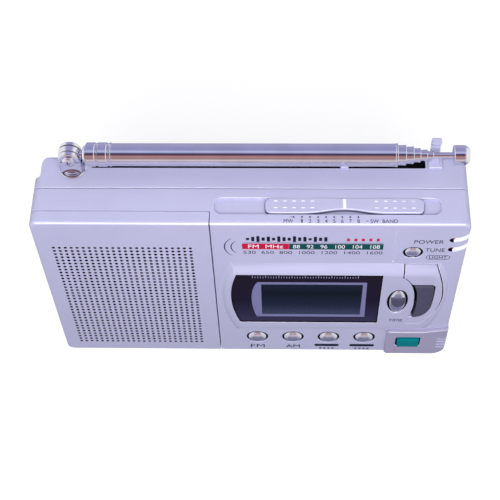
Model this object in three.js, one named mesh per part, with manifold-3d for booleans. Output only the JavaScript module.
// A tabletop multiband radio with a telescopic antenna, as an assembly of separate pieces.
// Units are millimetres: X runs to the right, Y to the back and Z up.
// Pieces are laid out from the cabinet's front plane (Y = 0) and from the middle of its width,
// and the whole group is then moved so that the origin is the bottom centre of its box.
import * as THREE from 'three';
import { mergeVertices } from 'three/addons/utils/BufferGeometryUtils.js';
import Module from 'manifold-3d';

const wasm = await Module();
wasm.setup();

// ---------------------------------------------------------------- driving dimensions
const WIDTH = 130;
const HEIGHT = 79;
const DEPTH = 24.6;
const WALL = 2;
const LEFT = -WIDTH / 2;
const RIGHT = WIDTH / 2;
const PARTING_Y = 12.8;            // joint between the front cabinet and the rear cover
const JOINT_GAP = 0.3;             // between fixed mouldings
const FIT_GAP = 0.2;               // between a fixed piece and its seat
const KEY_GAP = 0.35;              // round a moving key
const EDGE_ROUND = 1;              // rounding of the cabinet's front and back edges
const CORNER = 2.5;
const SMALLEST_CORNER = 0.6;
const PAST = 3;                    // how far a cutter runs past the faces that it cuts
const TURN_SEGMENTS = 20;
const ARC_SEGMENTS = 5;

// Speaker cover
const COVER_RIGHT = -11.6;
const COVER_DEPTH = 4.5;
const COVER_WALL = 1.5;
const SPEAKER_X = -38.7;
const SPEAKER_Z = 36;
const BAFFLE_FRONT = COVER_DEPTH + FIT_GAP;
const BAFFLE_BACK = BAFFLE_FRONT + 1.5;
const GRILLE = { left: -59.9, right: -17.4, bottom: 5.6, top: 66.3, slots: 14, slotHeight: 2.4 };

// Raised bezel round the display and the keys: it stands prouder at its top than at its bottom
const BEZEL = { top: 57.9, shoulder: 54, bottom: 16.4, foot: 17.2, proudTop: 2, proudBottom: 0.9 };

// Front pieces
const LENS_BACK = 0.9;
const LCD_PANEL = { left: -1.2, right: 39.4, bottom: 23, top: 51.2, back: 4 };
const DISPLAY_OPENING = { left: 0.5, right: 37.6, bottom: 24.6, top: 49.6 };
const KEY_MAT = { left: -4, right: 42.2, front: 4.1, back: 4.8, bottom: 5, top: 15 };
const BUTTON_Z = 10;
const BUTTON_RADIUS = 3.05;
const ROUND_BUTTONS = { fm_button: 1.2, am_button: 13.3, memory_button: 25.35, alarm_button: 37.4 };
const LIGHT_BUTTON = { x: 49.1, z: 64, radius: 2.4 };
const TIME_BUTTON = { x: 46.5, z: 36.9, halfWidth: 2.7, halfHeight: 6.9, proud: 1.2 };
const POWER_KEY = { left: 48.5, right: 55.8, bottom: 6.4, top: 11.3, proud: 1.8, corner: 0.5 };
const KEY_SPLIT_Z = 36.3;
const KEY_PROUD = 0.5;
const FLANGE_FRONT = WALL + FIT_GAP;
const FLANGE_BACK = FLANGE_FRONT + 0.7;
const LEDS = { power_led: { x: 60.4, z: 70.9 }, tune_led: { x: 60.5, z: 65.8 } };
const LED_BORE = 1.15;
const LED_GROOVE_DEPTH = 0.7;
const GUARD = { left: 44.6, ridge: 16, ridgeRight: 18, proud: 1, corner: 4.6, ridgeStart: 56.6 };
const GRIP = { count: 4, first: 5, pitch: 1.9, height: 0.8, depth: 0.6, across: 3.2, back: 3 };

// Band slider on the top
const SLIDER = { left: 4.7, right: 51.4, front: 3.9, back: 9.1, proud: 0.5 };
const SLIDER_SLOT = { left: -10.3, right: 56.4, front: 3.6, back: 9.4, depth: 1, corner: 2.6 };
const SLIDER_LEG = { left: 24, right: 32, front: 5.5, back: 7.5, bottom: HEIGHT - 5.4 };
const SLIDER_TRAVEL = { left: 14.5, right: 4.5 };
const BAND_SWITCH = { left: 3, right: 49, back: 12, bottom: 66.5 };

// Inner pieces
const BOARD_FRONT = 5.2;
const BOARD_BACK = 6.4;
const BOSSES = [[-58.5, 6.5], [60.9, 4.9], [57, 72.8], [-41, 73]];
const BOSS_RADIUS = 2.4;
const PILOT_RADIUS = 1.3;
const SCREW_TIP = 7.8;
const SCREW_SEAT = 3;              // how deep behind the joint a screw's head sits
const BOSS_SEGMENTS = 12;
const WHEEL = { x: 56, z: 52.5, radius: 10, front: 7.2, back: 10.2, teeth: 30, window: 7.8, gap: 0.5 };
const JACK = { left: -62.8, right: -52.4, y: 9.1, front: 6.6, back: 11.6 };
const JACKS = {
  earphone_jack: { bottom: 65.2, top: 70.8, hole: 1.9 },
  dc_jack: { bottom: 57.6, top: 62.8, hole: 1.8 },
};

// Medium-wave antenna behind the board
const FERRITE = {
  y: 17.2, z: 66, radius: 4, left: -8, right: 52, coilLeft: 4, coilRight: 26, coilThickness: 1,
};

// Battery bay in the rear cover
const BAY = { left: 0.6, right: 56.6, bottom: 9.8, top: 39.2, front: 8.2, wall: 1 };
const DOOR = { left: -1, bottom: 8.6, top: 40.4, thickness: 1.2 };
const CELL = { radius: 7.1, length: 50.2, left: 3.5, y: 15.6, z: [17.2, 31.8] };

// Antenna, lying along +X over the top of the cabinet
const ANTENNA = { x: -53.5, y: 20, z: HEIGHT + 7 };
const BASE_RADIUS = 4.2;
const CHEEK_RADIUS = 3.2;
const YOKE = { front: 17.5, back: 22.5, slotFront: 18.75, slotBack: 21.25 };
const TUBE_LEFT = -48.4;
const TUBES = [
  { outer: 3.5, right: 43.7 }, { outer: 3.05, right: 46.1 }, { outer: 2.6, right: 48.4 },
  { outer: 2.15, right: 50.4 }, { outer: 1.7, right: 52.4 }, { outer: 1.3, right: 54.2 },
];
const TUBE_CLEARANCE = 0.1;
const ROD = { radius: 0.9, tipLeft: 60, tipRight: 64.8, tipRadius: 3 };
const NEST_STEP = 1.2;             // each inner tube starts this much further along
const CLIP = {
  left: 53.7, right: 56.6, front: 21.3, back: 24.3, top: HEIGHT + 10, cradle: 3.4,
  footLeft: 53.3, footRight: 57.6, footFront: 19.8, footTop: 1.1,
};
const CLIP_PEG = { left: 54.1, right: 56.2, front: 20.3, back: 22.1 };
const CHANNEL = { left: -48, right: 52.6, front: 20.65, back: 23.2, depth: 1.2 };   // under the antenna
const REST_LUG = { left: 27.1, right: 29.6, front: 20, back: 22.6 };
const REAR_STEP = { y: 17.05, inset: 1.8, corner: 3.5 };

// The finished object's box: front keys to rear cover, left side to the rim of the volume wheel
const FRONT_MOST = -2.96;
const CENTRE_X = (LEFT + WHEEL.x + WHEEL.radius) / 2;
const CENTRE_Y = (FRONT_MOST + DEPTH) / 2;

// ---------------------------------------------------------------- materials
function material(colour, roughness, metalness = 0) {
  return new THREE.MeshStandardMaterial({ color: colour, roughness, metalness });
}
const silver = material('#b9b9d2', 0.4, 0.25);
const darkWindow = material('#15131f', 0.12);
const glassDark = material('#232a38', 0.2);
const darkGrey = material('#494760', 0.5);
const green = material('#008892', 0.4);
const red = material('#c01828', 0.3);
const chrome = material('#d4d4dc', 0.12, 1);
const steel = material('#a8a8ac', 0.35, 1);
const rubber = material('#2c2b30', 0.85);
const boardGreen = material('#1f5a3a', 0.6);
const blackPlastic = material('#1c1c20', 0.5);
const paper = material('#3a3632', 0.9);
const ferrite = material('#33302f', 0.7);
const copper = material('#b5713a', 0.4, 0.9);
const cellSleeve = material('#33507a', 0.4, 0.2);
const whitePlastic = material('#e4e2dc', 0.5);

// ---------------------------------------------------------------- solids
function solidOf(geometry) {
  geometry.deleteAttribute('normal');
  geometry.deleteAttribute('uv');
  const merged = mergeVertices(geometry, 1e-4);
  const corners = merged.index.array;
  const kept = [];
  for (let i = 0; i < corners.length; i += 3) {
    const [a, b, c] = corners.slice(i, i + 3);
    if (a !== b && b !== c && c !== a) kept.push(a, b, c);
  }
  return new wasm.Manifold(new wasm.Mesh({
    numProp: 3,
    vertProperties: merged.attributes.position.array,
    triVerts: Uint32Array.from(kept),
  }));
}

function geometryOf(solid) {
  const mesh = solid.getMesh();
  const geometry = new THREE.BufferGeometry();
  geometry.setAttribute('position', new THREE.BufferAttribute(mesh.vertProperties, 3));
  geometry.setIndex(new THREE.BufferAttribute(mesh.triVerts, 1));
  return geometry;
}

function joined(...solids) {
  return solids.reduce((whole, solid) => whole.add(solid));
}

function cut(solid, ...cutters) {
  return cutters.reduce((whole, cutter) => whole.subtract(cutter), solid);
}

function block(x0, x1, y0, y1, z0, z1) {
  const geometry = new THREE.BoxGeometry(x1 - x0, y1 - y0, z1 - z0);
  return solidOf(geometry.translate((x0 + x1) / 2, (y0 + y1) / 2, (z0 + z1) / 2));
}

// A front-view outline (X across, Z up) given depth from yFront to yBack
function slab(outline, yFront, yBack, bevel = 0) {
  const geometry = new THREE.ExtrudeGeometry(outline, {
    depth: yBack - yFront - 2 * bevel,
    bevelEnabled: bevel > 0,
    bevelThickness: bevel,
    bevelSize: bevel,
    bevelOffset: -bevel,
    bevelSegments: 3,
    curveSegments: ARC_SEGMENTS,
  });
  return solidOf(geometry.rotateX(Math.PI / 2).translate(0, yBack - bevel, 0));
}

// A top-view outline (X across, Y back) given height from z0 to z1
function plate(outline, z0, z1) {
  const geometry = new THREE.ExtrudeGeometry(outline, {
    depth: z1 - z0,
    bevelEnabled: false,
    curveSegments: ARC_SEGMENTS,
  });
  return solidOf(geometry.translate(0, 0, z0));
}

// A turned piece: its profile lists [distance along the axis, radius] from the low end to the high end
function turned(axis, centre, profile, segments = TURN_SEGMENTS) {
  const points = profile.map(([along, radius]) => new THREE.Vector2(radius, along));
  const geometry = new THREE.LatheGeometry(points, segments);
  if (axis === 'x') geometry.rotateZ(-Math.PI / 2);
  if (axis === 'z') geometry.rotateX(Math.PI / 2);
  return solidOf(geometry.translate(...centre));
}

// A plain cylinder from start to end along an axis
function rod(axis, centre, radius, start, end, segments = TURN_SEGMENTS) {
  return turned(axis, centre, [[start, 0], [start, radius], [end, radius], [end, 0]], segments);
}

// A hollow cylinder from start to end along an axis
function pipe(axis, centre, outer, inner, start, end, segments = TURN_SEGMENTS) {
  const profile = [[start, inner], [start, outer], [end, outer], [end, inner], [start, inner]];
  return turned(axis, centre, profile, segments);
}

function roundedOutline(x0, x1, z0, z1, radii) {
  const [lowLeft, lowRight, highRight, highLeft] = radii;
  const quarter = Math.PI / 2;
  const outline = new THREE.Shape();
  outline.moveTo(x0 + lowLeft, z0);
  outline.lineTo(x1 - lowRight, z0);
  outline.absarc(x1 - lowRight, z0 + lowRight, lowRight, -quarter, 0, false);
  outline.lineTo(x1, z1 - highRight);
  outline.absarc(x1 - highRight, z1 - highRight, highRight, 0, quarter, false);
  outline.lineTo(x0 + highLeft, z1);
  outline.absarc(x0 + highLeft, z1 - highLeft, highLeft, quarter, 2 * quarter, false);
  outline.lineTo(x0, z0 + lowLeft);
  outline.absarc(x0 + lowLeft, z0 + lowLeft, lowLeft, 2 * quarter, 3 * quarter, false);
  return outline;
}

function evenRounded(x0, x1, z0, z1, radius) {
  return roundedOutline(x0, x1, z0, z1, [radius, radius, radius, radius]);
}

function oval(x, z, halfWidth, halfHeight) {
  const outline = new THREE.Shape();
  outline.absellipse(x, z, halfWidth, halfHeight, 0, 2 * Math.PI, false, 0);
  return new THREE.Shape(outline.getPoints(TURN_SEGMENTS).slice(0, -1));
}

// The outline with every side moved outwards by a distance
function grown(outline, distance) {
  let points = outline.getPoints(ARC_SEGMENTS);
  if (points[0].distanceTo(points.at(-1)) < 1e-6) points = points.slice(0, -1);
  if (THREE.ShapeUtils.isClockWise(points)) points.reverse();
  const moved = points.map((point, i) => {
    const before = points.at(i - 1);
    const after = points[(i + 1) % points.length];
    const inwards = point.clone().sub(before).normalize();
    const onwards = after.clone().sub(point).normalize();
    const side = new THREE.Vector2(inwards.y + onwards.y, -inwards.x - onwards.x).normalize();
    const stretch = side.dot(new THREE.Vector2(onwards.y, -onwards.x));
    return point.clone().addScaledVector(side, distance / stretch);
  });
  return new THREE.Shape(moved);
}

// A solid between two outlines with the same number of corners, the second one nearer the front
function loft(backOutline, frontOutline) {
  const count = backOutline.length;
  const flat = frontOutline.map((corner) => new THREE.Vector2(corner.x, corner.z));
  const triangles = [];
  for (const [a, b, c] of THREE.ShapeUtils.triangulateShape(flat, [])) {
    triangles.push(count + a, count + b, count + c);
    triangles.push(c, b, a);
  }
  for (let i = 0; i < count; i += 1) {
    const next = (i + 1) % count;
    triangles.push(i, next, count + next);
    triangles.push(i, count + next, count + i);
  }
  const geometry = new THREE.BufferGeometry().setFromPoints([...backOutline, ...frontOutline]);
  geometry.setIndex(triangles);
  return solidOf(geometry);
}

const radio = new THREE.Group();
radio.position.set(-CENTRE_X, -CENTRE_Y, 0);

function add(name, solid, finish) {
  const mesh = new THREE.Mesh(geometryOf(solid), finish);
  mesh.name = name;
  radio.add(mesh);
}

// ---------------------------------------------------------------- casing outlines
function casingOutline(inset) {
  const corner = Math.max(CORNER - inset, SMALLEST_CORNER);
  const guardCorner = GUARD.corner - inset;
  return roundedOutline(
    LEFT + inset, RIGHT - inset, inset, HEIGHT - inset, [corner, guardCorner, corner, corner],
  );
}

// The casing's full outside, with rounded front and back edges
function casing() {
  return slab(casingOutline(0), 0, DEPTH, EDGE_ROUND);
}

// Everything between two depths
function betweenDepths(yFront, yBack) {
  return block(LEFT - PAST, RIGHT + PAST, yFront, yBack, -PAST, HEIGHT + PAST);
}

function casingCavity(yFront, yBack) {
  return slab(casingOutline(WALL), yFront, yBack);
}

// How far forward the bezel's face stands at a height, as a Y value
function bezelFace(z) {
  const share = (z - BEZEL.foot) / (BEZEL.shoulder - BEZEL.foot);
  return -THREE.MathUtils.lerp(BEZEL.proudBottom, BEZEL.proudTop, share);
}

// The barrel-sided outline of the bezel, its sides brought in by an inset
function bezelOutline(bottom, top, inset) {
  const outline = new THREE.Shape();
  outline.moveTo(-5.9 + inset, bottom);
  outline.lineTo(57.6 - inset, bottom + 0.8);
  outline.quadraticCurveTo(66.3 - inset, 38.4, 58.4 - inset, top);
  outline.lineTo(-6 + inset, top);
  outline.quadraticCurveTo(-13.1 + inset, 37.3, -5.9 + inset, bottom);
  return outline.getPoints(8).slice(0, -1);
}

function bezelSolid() {
  const foot = bezelOutline(BEZEL.bottom, BEZEL.top, 0);
  const face = bezelOutline(BEZEL.foot, BEZEL.shoulder, 1.1);
  return loft(
    foot.map((corner) => new THREE.Vector3(corner.x, 0.2, corner.y)),
    face.map((corner) => new THREE.Vector3(corner.x, bezelFace(corner.y), corner.y)),
  );
}

// Everything behind the bezel's slanted face, moved forward by proud
function behindBezelFace(proud, yBack) {
  const corners = [[-20, -10], [80, -10], [80, 90], [-20, 90]];
  return loft(
    corners.map(([x, z]) => new THREE.Vector3(x, yBack, z)),
    corners.map(([x, z]) => new THREE.Vector3(x, bezelFace(z) - proud, z)),
  );
}

// An outline's solid with its front on the bezel's slanted face
function onBezel(outline, proud, yBack) {
  return slab(outline, -2 * PAST, yBack + PAST).intersect(behindBezelFace(proud, yBack));
}

function lensOutline() {
  const outline = new THREE.Shape();
  outline.moveTo(-4, 22.2);
  outline.lineTo(40.7, 22.2);
  outline.lineTo(40.7, 53.4);
  outline.lineTo(-4.4, 53.4);
  outline.quadraticCurveTo(-8.6, 38.2, -4, 22.2);
  return outline;
}

function inlayOutline() {
  const outline = new THREE.Shape();
  outline.moveTo(50.2, 21.6);
  outline.lineTo(54.6, 21.6);
  outline.quadraticCurveTo(64.4, 36, 56.9, 57.4);
  outline.lineTo(47.4, 57.4);
  outline.lineTo(47.4, 52.2);
  outline.bezierCurveTo(52.2, 49, 53.6, 35, 50.2, 21.6);
  return outline;
}

function keysOutline() {
  const outline = new THREE.Shape();
  outline.moveTo(48, 26.9);
  outline.lineTo(52.4, 26.9);
  outline.quadraticCurveTo(56.6, 27.4, 57.1, 34);
  outline.quadraticCurveTo(57.5, 40, 57.2, 46);
  outline.quadraticCurveTo(57.1, 47.4, 55.8, 47.4);
  outline.lineTo(48, 47.4);
  return outline;
}

function guardOutline() {
  const { left, ridge, ridgeRight, ridgeStart, corner } = GUARD;
  const outline = new THREE.Shape();
  outline.moveTo(left, 0);
  outline.lineTo(RIGHT - corner, 0);
  outline.absarc(RIGHT - corner, corner, corner, -Math.PI / 2, 0, false);
  outline.lineTo(RIGHT, ridgeRight);
  outline.lineTo(ridgeStart, ridge);
  outline.lineTo(left, ridge);
  return outline;
}

// The groove that curves up from an indicator to the casing's side
function ledGroove({ x, z }) {
  const outline = new THREE.Shape();
  outline.moveTo(x - LED_BORE, z - 1);
  outline.quadraticCurveTo(x + 3, z - 1, RIGHT + PAST, z + 4);
  outline.lineTo(RIGHT + PAST, z + 6);
  outline.quadraticCurveTo(x + 3.4, z + 1.2, x - LED_BORE, z + 1);
  return slab(outline, -PAST, LED_GROOVE_DEPTH);
}

// ---------------------------------------------------------------- front cabinet
function frontCabinet() {
  const parting = PARTING_Y - JOINT_GAP / 2;
  let shell = casing().intersect(betweenDepths(-PAST, parting));
  const guard = slab(guardOutline(), -GUARD.proud, PAST, 0.5);
  shell = joined(shell, bezelSolid(), guard);

  // the seat of the speaker cover, the baffle behind it and the hollow inside
  const coverSeat = block(
    LEFT - PAST, COVER_RIGHT + JOINT_GAP / 2, -PAST, BAFFLE_FRONT, -PAST, HEIGHT + PAST,
  );
  const divider = COVER_RIGHT + JOINT_GAP / 2 + WALL;
  const rightHollow = casingCavity(WALL, DEPTH).intersect(
    block(divider, RIGHT, 0, DEPTH, 0, HEIGHT),
  );
  const leftHollow = casingCavity(BAFFLE_BACK, DEPTH);
  shell = cut(shell, coverSeat, rightHollow, leftHollow);
  shell = cut(shell, rod('y', [SPEAKER_X, 0, SPEAKER_Z], 21, 0, BAFFLE_BACK + 1));

  // screw bosses, each with a pilot hole open at its back
  for (const [x, z] of BOSSES) {
    const root = x < COVER_RIGHT ? BAFFLE_BACK - 0.5 : WALL - 0.5;
    shell = joined(shell, rod('y', [x, 0, z], BOSS_RADIUS, root, parting, BOSS_SEGMENTS));
    shell = cut(shell, rod('y', [x, 0, z], PILOT_RADIUS, root + 1.5, parting + 1, BOSS_SEGMENTS));
  }

  // openings of the front
  const lensSeat = slab(grown(lensOutline(), FIT_GAP), -2 * PAST, LENS_BACK + FIT_GAP);
  const opening = DISPLAY_OPENING;
  const displayOpening = block(opening.left, opening.right, -PAST, WALL + 1, opening.bottom, opening.top);
  const inlaySeat = slab(grown(inlayOutline(), KEY_GAP), -2 * PAST, 0.4);
  const keysHole = slab(grown(keysOutline(), KEY_GAP), -2 * PAST, WALL + 1)
    .intersect(slab(grown(inlayOutline(), KEY_GAP), -2 * PAST, WALL + 1));
  const { x, z, halfWidth, halfHeight } = TIME_BUTTON;
  const timeHole = slab(oval(x, z, halfWidth + KEY_GAP, halfHeight + KEY_GAP), -2 * PAST, WALL + 1);
  shell = cut(shell, lensSeat, displayOpening, inlaySeat, keysHole, timeHole);
  for (const buttonX of Object.values(ROUND_BUTTONS)) {
    shell = cut(shell, rod('y', [buttonX, 0, BUTTON_Z], BUTTON_RADIUS + KEY_GAP, -PAST, WALL + 1));
  }
  const lightHole = LIGHT_BUTTON.radius + KEY_GAP;
  shell = cut(shell, rod('y', [LIGHT_BUTTON.x, 0, LIGHT_BUTTON.z], lightHole, -PAST, WALL + 1));
  const { left, right, bottom, top, corner } = POWER_KEY;
  const powerHole = grown(evenRounded(left, right, bottom, top, corner), KEY_GAP);
  shell = cut(shell, slab(powerHole, -PAST, WALL + 2));
  for (const led of Object.values(LEDS)) {
    const bore = rod('y', [led.x, 0, led.z], LED_BORE, -PAST, WALL + 1, BOSS_SEGMENTS);
    shell = cut(shell, ledGroove(led), bore);
  }

  // the slider's track and the slot for its leg
  const slot = SLIDER_SLOT;
  const track = evenRounded(slot.left, slot.right, slot.front, slot.back, slot.corner);
  shell = cut(shell, plate(track, HEIGHT - slot.depth, HEIGHT + PAST));
  shell = cut(shell, block(
    SLIDER_LEG.left - SLIDER_TRAVEL.left - KEY_GAP, SLIDER_LEG.right + SLIDER_TRAVEL.right + KEY_GAP,
    SLIDER_LEG.front - KEY_GAP, SLIDER_LEG.back + KEY_GAP, HEIGHT - WALL - 1, HEIGHT + 1,
  ));

  // the volume wheel's window, the sockets' holes and the grip grooves of the corner guard
  shell = cut(shell, block(
    RIGHT - WALL - 1, RIGHT + 1, WHEEL.front - WHEEL.gap, WHEEL.back + WHEEL.gap,
    WHEEL.z - WHEEL.window, WHEEL.z + WHEEL.window,
  ));
  for (const jack of Object.values(JACKS)) {
    const middle = (jack.bottom + jack.top) / 2;
    shell = cut(shell, rod('x', [LEFT, JACK.y, middle], jack.hole, -1, WALL + 1, BOSS_SEGMENTS));
  }
  for (let i = 0; i < GRIP.count; i += 1) {
    const low = GRIP.first + i * GRIP.pitch;
    const high = low + GRIP.height;
    shell = cut(shell, block(RIGHT - GRIP.across, RIGHT + 1, -PAST, GRIP.depth - GUARD.proud, low, high));
    shell = cut(shell, block(RIGHT - GRIP.depth, RIGHT + 1, -PAST, GRIP.back, low, high));
  }
  return shell;
}

// ---------------------------------------------------------------- speaker and its cover
function speakerCover() {
  const edge = COVER_RIGHT - JOINT_GAP / 2;
  const outside = casing().intersect(block(LEFT - PAST, edge, -PAST, COVER_DEPTH, -PAST, HEIGHT + PAST));
  const hollow = evenRounded(
    LEFT + COVER_WALL, edge - COVER_WALL, COVER_WALL, HEIGHT - COVER_WALL, 1.2,
  );
  let cover = cut(outside, slab(hollow, COVER_WALL, COVER_DEPTH + 1));
  const pitch = (GRILLE.top - GRILLE.bottom) / GRILLE.slots;
  for (let i = 0; i < GRILLE.slots; i += 1) {
    const low = GRILLE.bottom + (i + 0.5) * pitch - GRILLE.slotHeight / 2;
    cover = cut(cover, block(GRILLE.left, GRILLE.right, -PAST, COVER_WALL + 1, low, low + GRILLE.slotHeight));
  }
  return cover;
}

function addSpeaker() {
  const centre = [SPEAKER_X, 0, SPEAKER_Z];
  const front = BAFFLE_BACK + FIT_GAP;
  const basket = turned('y', centre, [
    [front, 20.6], [front, 23], [front + 0.8, 23], [front + 1, 20.8], [front + 7.2, 13.6],
    [front + 7.2, 6], [front + 6.4, 6], [front + 6.4, 13], [front + 0.8, 20], [front, 20.6],
  ], 28);
  add('speaker_basket', basket, steel);
  const cone = turned('y', centre, [
    [front + 3.2, 0], [front + 3.4, 4.6], [front + 1.4, 10], [front + 0.2, 18.8], [front + 0.5, 18.8],
    [front + 2.6, 9.6], [front + 6, 5], [front + 6, 0],
  ], 28);
  add('speaker_cone', cone, paper);
  add('speaker_magnet', turned('y', centre, [
    [front + 7.4, 0], [front + 7.4, 13], [front + 8.6, 14], [front + 13, 14], [front + 13.6, 12],
    [front + 13.6, 0],
  ], 24), steel);
}

// ---------------------------------------------------------------- display and keys
function addDisplay() {
  add('display_lens', onBezel(lensOutline(), -0.35, LENS_BACK), darkWindow);
  const { left, right, bottom, top, back } = LCD_PANEL;
  add('lcd_panel', block(left, right, FLANGE_FRONT, back, bottom, top), glassDark);
  const edge = 1;
  add('backlight_plate', block(
    left + edge, right - edge, back + FIT_GAP, BOARD_FRONT - FIT_GAP, bottom + edge, top - edge,
  ), whitePlastic);
}

function addTuningKeys() {
  const seat = slab(inlayOutline(), -2 * PAST, 0.2);
  const keysHole = slab(grown(keysOutline(), KEY_GAP), -2 * PAST, 1);
  add('key_inlay', cut(bezelSolid().intersect(seat), keysHole), silver);
  const throughInlay = slab(inlayOutline(), -2 * PAST, DEPTH);
  const keys = onBezel(keysOutline(), KEY_PROUD, FLANGE_BACK).intersect(throughInlay);
  const half = KEY_GAP / 2;
  add('tune_up_key', keys.intersect(block(0, RIGHT, -PAST, DEPTH, KEY_SPLIT_Z + half, HEIGHT)), darkGrey);
  add('tune_down_key', keys.intersect(block(0, RIGHT, -PAST, DEPTH, 0, KEY_SPLIT_Z - half)), darkGrey);
}

function domedButton(x, z, radius, proud) {
  return turned('y', [x, 0, z], [
    [-proud, 0], [-proud + 0.12, radius * 0.45], [-proud + 0.45, radius * 0.8], [-0.2, radius],
    [FLANGE_FRONT, radius], [FLANGE_FRONT, radius + 0.8], [FLANGE_BACK, radius + 0.8], [FLANGE_BACK, 0],
  ], TURN_SEGMENTS);
}

function addButtons() {
  for (const [name, x] of Object.entries(ROUND_BUTTONS)) {
    add(name, domedButton(x, BUTTON_Z, BUTTON_RADIUS, 1.2), silver);
  }
  add('light_button', domedButton(LIGHT_BUTTON.x, LIGHT_BUTTON.z, LIGHT_BUTTON.radius, 0.7), silver);

  const { x, z, halfWidth, halfHeight, proud } = TIME_BUTTON;
  const timeFlange = slab(oval(x, z, halfWidth + 0.7, halfHeight + 0.7), FLANGE_FRONT, FLANGE_BACK);
  const timeCap = onBezel(oval(x, z, halfWidth, halfHeight), proud, FLANGE_BACK);
  add('time_button', joined(timeCap, timeFlange), silver);

  const { left, right, bottom, top, corner } = POWER_KEY;
  const powerKey = slab(evenRounded(left, right, bottom, top, corner), -POWER_KEY.proud, FLANGE_BACK, 0.25);
  const powerFlange = block(left - 0.9, right + 0.9, FLANGE_FRONT, FLANGE_BACK, bottom - 0.9, top + 0.9);
  add('power_key', joined(powerKey, powerFlange), green);
  const mat = KEY_MAT;
  add('key_mat', block(mat.left, mat.right, mat.front, mat.back, mat.bottom, mat.top), rubber);

  for (const [name, led] of Object.entries(LEDS)) {
    add(name, turned('y', [led.x, 0, led.z], [
      [0.5, 0], [0.7, 0.6], [1.1, 0.95], [4.6, 0.95], [4.6, 0],
    ], 12), red);
  }
}

// ---------------------------------------------------------------- band slider
function bandSlider() {
  const { left, right, front, back, proud } = SLIDER;
  const middle = (left + right) / 2;
  const outline = new THREE.Shape();
  outline.moveTo(left + 2.4, front);
  outline.lineTo(middle - 11, front);
  outline.quadraticCurveTo(middle, front + 1.3, middle + 11, front);
  outline.lineTo(right - 2.4, front);
  outline.quadraticCurveTo(right, front, right, (front + back) / 2);
  outline.quadraticCurveTo(right, back, right - 2.4, back);
  outline.lineTo(left + 2.4, back);
  outline.quadraticCurveTo(left, back, left, (front + back) / 2);
  outline.quadraticCurveTo(left, front, left + 2.4, front);
  const bar = plate(outline, HEIGHT - SLIDER_SLOT.depth + FIT_GAP, HEIGHT + proud);
  const leg = block(
    SLIDER_LEG.left, SLIDER_LEG.right, SLIDER_LEG.front, SLIDER_LEG.back, SLIDER_LEG.bottom, HEIGHT,
  );
  return joined(bar, leg);
}

// ---------------------------------------------------------------- inner pieces
function addBoard() {
  let board = block(-8.9, RIGHT - WALL - 0.6, BOARD_FRONT, BOARD_BACK, 3, 73.2);
  for (const [x, z] of BOSSES) {
    board = cut(board, rod('y', [x, 0, z], BOSS_RADIUS + 0.8, 0, DEPTH, 12));
  }
  add('circuit_board', board, boardGreen);
  const band = BAND_SWITCH;
  add('band_switch', block(
    band.left, band.right, BOARD_BACK + FIT_GAP, band.back, band.bottom, SLIDER_LEG.bottom - FIT_GAP,
  ), steel);
  const wheelCentre = [WHEEL.x, 0, WHEEL.z];
  add('volume_control', rod('y', wheelCentre, 5.5, BOARD_BACK + FIT_GAP, WHEEL.front - FIT_GAP, 16), steel);
  for (const [name, { bottom, top }] of Object.entries(JACKS)) {
    add(name, block(JACK.left, JACK.right, JACK.front, JACK.back, bottom, top), blackPlastic);
  }
}

function volumeWheel() {
  const outline = new THREE.Shape();
  const count = WHEEL.teeth * 4;
  for (let i = 0; i < count; i += 1) {
    const angle = (i / count) * 2 * Math.PI;
    const radius = i % 4 < 2 ? WHEEL.radius : WHEEL.radius - 0.45;
    const [across, up] = [WHEEL.x + radius * Math.cos(angle), WHEEL.z + radius * Math.sin(angle)];
    if (i === 0) outline.moveTo(across, up);
    else outline.lineTo(across, up);
  }
  return slab(outline, WHEEL.front, WHEEL.back);
}

function addFerriteAntenna() {
  const { y, z, radius, left, right, coilLeft, coilRight, coilThickness } = FERRITE;
  const inner = radius + FIT_GAP;
  add('ferrite_rod', rod('x', [0, y, z], radius, left, right, 16), ferrite);
  add('ferrite_coil', pipe('x', [0, y, z], inner + coilThickness, inner, coilLeft, coilRight, 16), copper);
}

// ---------------------------------------------------------------- batteries and their contacts
function springContact(z) {
  const left = BAY.left + FIT_GAP;
  const turns = 3;
  const coil = new THREE.CatmullRomCurve3(Array.from({ length: turns * 8 + 1 }, (unused, i) => {
    const share = i / (turns * 8);
    const radius = THREE.MathUtils.lerp(4, 1.8, share);
    const angle = share * turns * 2 * Math.PI;
    return new THREE.Vector3(
      left + 0.5 + 1.6 * share, CELL.y + radius * Math.cos(angle), z + radius * Math.sin(angle),
    );
  }));
  const wire = new THREE.Shape().absarc(0, 0, 0.3, 0, 2 * Math.PI, false);
  const section = new THREE.Shape(wire.getPoints(6).slice(0, -1));
  const geometry = new THREE.ExtrudeGeometry(section, { steps: turns * 10, extrudePath: coil });
  return joined(solidOf(geometry), block(left, left + 0.5, CELL.y - 5, CELL.y + 5, z - 5, z + 5));
}

function addBatteries() {
  const { radius, length, left, y } = CELL;
  CELL.z.forEach((z, i) => {
    const flip = i === 1 ? -1 : 1;
    const middle = left + length / 2;
    const profile = [
      [-length / 2, 0], [-length / 2, radius - 1], [-length / 2 + 0.6, radius],
      [length / 2 - 2, radius], [length / 2 - 1.2, radius - 1.2], [length / 2 - 1.2, 2.8],
      [length / 2, 2.8], [length / 2, 0],
    ];
    const turnedProfile = flip === 1 ? profile : profile.map(([along, r]) => [-along, r]).reverse();
    add(`battery_${i + 1}`, turned('x', [middle, y, z], turnedProfile, 24), cellSleeve);
    add(`battery_plate_${i + 1}`, block(BAY.right - 0.7, BAY.right - 0.2, y - 5, y + 5, z - 5, z + 5), steel);
    add(`battery_spring_${i + 1}`, springContact(z), steel);
  });
}

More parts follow.
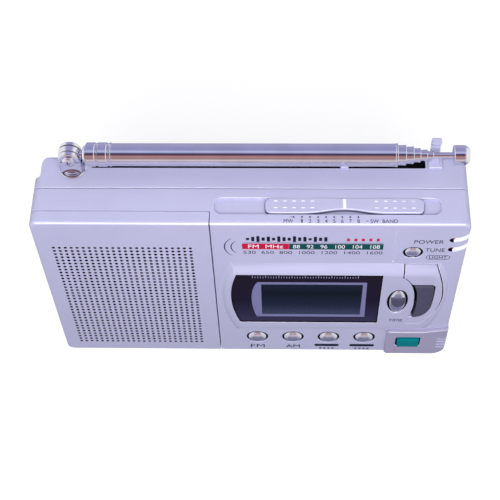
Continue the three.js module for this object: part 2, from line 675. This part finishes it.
// ---------------------------------------------------------------- rear cover
// What is cut away where the left side steps in behind the antenna's foot
function rearStep() {
  const { y, inset, corner } = REAR_STEP;
  const side = LEFT + inset;
  const outline = new THREE.Shape();
  outline.moveTo(LEFT - PAST, y);
  outline.lineTo(side, y);
  outline.lineTo(side, DEPTH - corner);
  outline.quadraticCurveTo(side, DEPTH, side + corner, DEPTH);
  outline.lineTo(side + corner, DEPTH + PAST);
  outline.lineTo(LEFT - PAST, DEPTH + PAST);
  return plate(outline, -PAST, HEIGHT + PAST);
}

function rearCover() {
  const parting = PARTING_Y + JOINT_GAP / 2;
  let shell = casing().intersect(betweenDepths(parting, DEPTH + PAST));
  shell = cut(shell, rearStep(), casingCavity(0, DEPTH - WALL).intersect(
    block(LEFT + REAR_STEP.inset + WALL, RIGHT, 0, DEPTH, 0, HEIGHT),
  ));

  // battery bay, reaching forward to the circuit board, with its door opening
  const { left, right, bottom, top, front, wall } = BAY;
  shell = joined(shell, block(
    left - wall, right + wall, front - wall, DEPTH - wall, bottom - wall, top + wall,
  ));
  shell = cut(shell, block(left, right, front, DEPTH + PAST, bottom, top));
  shell = cut(shell, block(
    DOOR.left - FIT_GAP, RIGHT + PAST, DEPTH - DOOR.thickness - FIT_GAP, DEPTH + PAST,
    DOOR.bottom - FIT_GAP, DOOR.top + FIT_GAP,
  ));

  // screw bosses with sunk holes for the screw heads
  for (const [x, z] of BOSSES) {
    const boss = rod('y', [x, 0, z], BOSS_RADIUS + 0.9, parting, DEPTH - 1, BOSS_SEGMENTS);
    const shankHole = rod('y', [x, 0, z], 1.6, parting - 1, DEPTH + 1, BOSS_SEGMENTS);
    const headHole = rod('y', [x, 0, z], 2.5, parting + SCREW_SEAT, DEPTH + 1, BOSS_SEGMENTS);
    shell = cut(joined(shell, boss), shankHole, headHole);
  }

  shell = cut(shell, block(
    CHANNEL.left, CHANNEL.right, CHANNEL.front, CHANNEL.back, HEIGHT - CHANNEL.depth, HEIGHT + PAST,
  ));

  // holes for the antenna's swivel and for the clip's peg, and the lug that the antenna rests over
  const swivelCentre = [ANTENNA.x, ANTENNA.y, 0];
  shell = cut(
    shell,
    rod('z', swivelCentre, 2.5, HEIGHT - WALL - 1, HEIGHT + 1, 16),
    rod('z', swivelCentre, 3.9, HEIGHT - WALL - 3, HEIGHT - WALL, 16),
  );
  const { left: pegLeft, right: pegRight, front: pegFront, back: pegBack } = CLIP_PEG;
  shell = cut(shell, block(
    pegLeft - FIT_GAP, pegRight + FIT_GAP, pegFront - FIT_GAP, pegBack + FIT_GAP,
    HEIGHT - WALL - 1, HEIGHT + 1,
  ));
  const { left: lugLeft, right: lugRight, front: lugFront, back: lugBack } = REST_LUG;
  return joined(shell, block(lugLeft, lugRight, lugFront, lugBack, HEIGHT - 1.5, HEIGHT + 1));
}

// The clip that cradles the antenna: a foot pegged into the top of the rear cover, and a prong
function antennaClip() {
  const { left, right, front, back, top, cradle, footLeft, footRight, footFront, footTop } = CLIP;
  const foot = block(footLeft, footRight, footFront, back, HEIGHT + FIT_GAP, HEIGHT + footTop);
  const prong = cut(
    block(left, right, front, back, HEIGHT + FIT_GAP, top),
    rod('x', [0, ANTENNA.y, ANTENNA.z], cradle, left - 1, right + 1, 24),
  );
  const peg = block(
    CLIP_PEG.left, CLIP_PEG.right, CLIP_PEG.front, CLIP_PEG.back, HEIGHT - WALL - 0.8, HEIGHT + 0.5,
  );
  return joined(foot, prong, peg);
}

function batteryDoor() {
  return casing().intersect(block(
    DOOR.left, RIGHT + PAST, DEPTH - DOOR.thickness, DEPTH + PAST, DOOR.bottom, DOOR.top,
  ));
}

function caseScrew([x, z]) {
  const seat = PARTING_Y + SCREW_SEAT + FIT_GAP;
  return turned('y', [x, 0, z], [
    [SCREW_TIP, 0], [SCREW_TIP + 0.8, 1.1], [seat + 0.1, 1.1], [seat + 0.3, 2.2], [seat + 1.3, 2.2],
    [seat + 1.8, 1.4], [seat + 1.8, 0],
  ], 14);
}

// ---------------------------------------------------------------- antenna
function antennaBase() {
  const { x, y, z } = ANTENNA;
  const inside = HEIGHT - WALL - FIT_GAP;
  const swivel = turned('z', [x, y, 0], [
    [inside - 1, 0], [inside - 1, 3.6], [inside, 3.6], [inside, 2.3], [HEIGHT + FIT_GAP, 2.3],
    [HEIGHT + FIT_GAP, BASE_RADIUS], [HEIGHT + 1, BASE_RADIUS], [HEIGHT + 1.5, BASE_RADIUS - 0.5],
    [HEIGHT + 1.5, 0],
  ], 24);
  const arch = new THREE.Shape();
  arch.moveTo(x - CHEEK_RADIUS, HEIGHT + 1);
  arch.lineTo(x + CHEEK_RADIUS, HEIGHT + 1);
  arch.absarc(x, z, CHEEK_RADIUS, 0, Math.PI, false);
  const yoke = slab(new THREE.Shape(arch.getPoints(12)), YOKE.front, YOKE.back);
  const slot = block(x - 5, x + 5, YOKE.slotFront, YOKE.slotBack, z - CHEEK_RADIUS - 0.5, z + 5);
  return cut(joined(swivel, yoke), slot, rod('y', [x, 0, z], 1.25, YOKE.front - 1, YOKE.back + 1, 16));
}

function antennaScrew() {
  const { x, z } = ANTENNA;
  return turned('y', [x, 0, z], [
    [YOKE.front - 1.1, 0], [YOKE.front - 1.1, 1.3], [YOKE.front - 0.6, 2], [YOKE.front - 0.1, 2],
    [YOKE.front - 0.1, 1.1], [YOKE.back + 0.1, 1.1], [YOKE.back + 0.1, 1.8], [YOKE.back + 0.8, 1.8],
    [YOKE.back + 0.8, 0],
  ], 16);
}

function antennaKnuckle() {
  const { x, y, z } = ANTENNA;
  const eye = rod('y', [x, 0, z], 3.3, YOKE.slotFront + FIT_GAP, YOKE.slotBack - FIT_GAP, 24);
  const neck = rod('x', [0, y, z], 1.05, x, TUBE_LEFT + 1, 16);
  const collar = turned('x', [0, y, z], [
    [x + CHEEK_RADIUS + 0.5, 0], [x + CHEEK_RADIUS + 0.5, 2.4], [TUBE_LEFT - 0.3, 2.6],
    [TUBE_LEFT - 0.3, 3.05], [TUBE_LEFT + 7, 3.05], [TUBE_LEFT + 7, 0],
  ], 16);
  return cut(joined(eye, neck, collar), rod('y', [x, 0, z], 1.25, 0, DEPTH, 16));
}

function addAntennaTubes() {
  const { y, z } = ANTENNA;
  const nestLeft = TUBE_LEFT + 7 + NEST_STEP;
  TUBES.forEach(({ outer, right }, i) => {
    const next = TUBES[i + 1] ? TUBES[i + 1].outer : ROD.radius;
    const left = i === 0 ? TUBE_LEFT : nestLeft + i * NEST_STEP;
    add(`antenna_tube_${i + 1}`, pipe('x', [0, y, z], outer, next + TUBE_CLEARANCE, left, right, 16), chrome);
  });
  add('antenna_rod', turned('x', [0, y, z], [
    [nestLeft + TUBES.length * NEST_STEP, 0], [nestLeft + TUBES.length * NEST_STEP, ROD.radius],
    [ROD.tipLeft, ROD.radius], [ROD.tipLeft, ROD.tipRadius - 0.4], [ROD.tipLeft + 0.4, ROD.tipRadius],
    [ROD.tipRight - 1.6, ROD.tipRadius], [ROD.tipRight - 0.5, ROD.tipRadius - 0.7],
    [ROD.tipRight, ROD.tipRadius - 1.8], [ROD.tipRight, 0],
  ], 16), chrome);
}

// ---------------------------------------------------------------- assembly
add('front_cabinet', frontCabinet(), silver);
add('speaker_cover', speakerCover(), silver);
addSpeaker();
addDisplay();
addTuningKeys();
addButtons();
add('band_slider', bandSlider(), silver);
addBoard();
add('volume_wheel', volumeWheel(), darkGrey);
addFerriteAntenna();
add('rear_cover', rearCover(), silver);
add('battery_door', batteryDoor(), silver);
add('antenna_clip', antennaClip(), silver);
addBatteries();
BOSSES.forEach((place, i) => add(`case_screw_${i + 1}`, caseScrew(place), steel));
add('antenna_base', antennaBase(), chrome);
add('antenna_screw', antennaScrew(), steel);
add('antenna_knuckle', antennaKnuckle(), chrome);
addAntennaTubes();

export default radio;
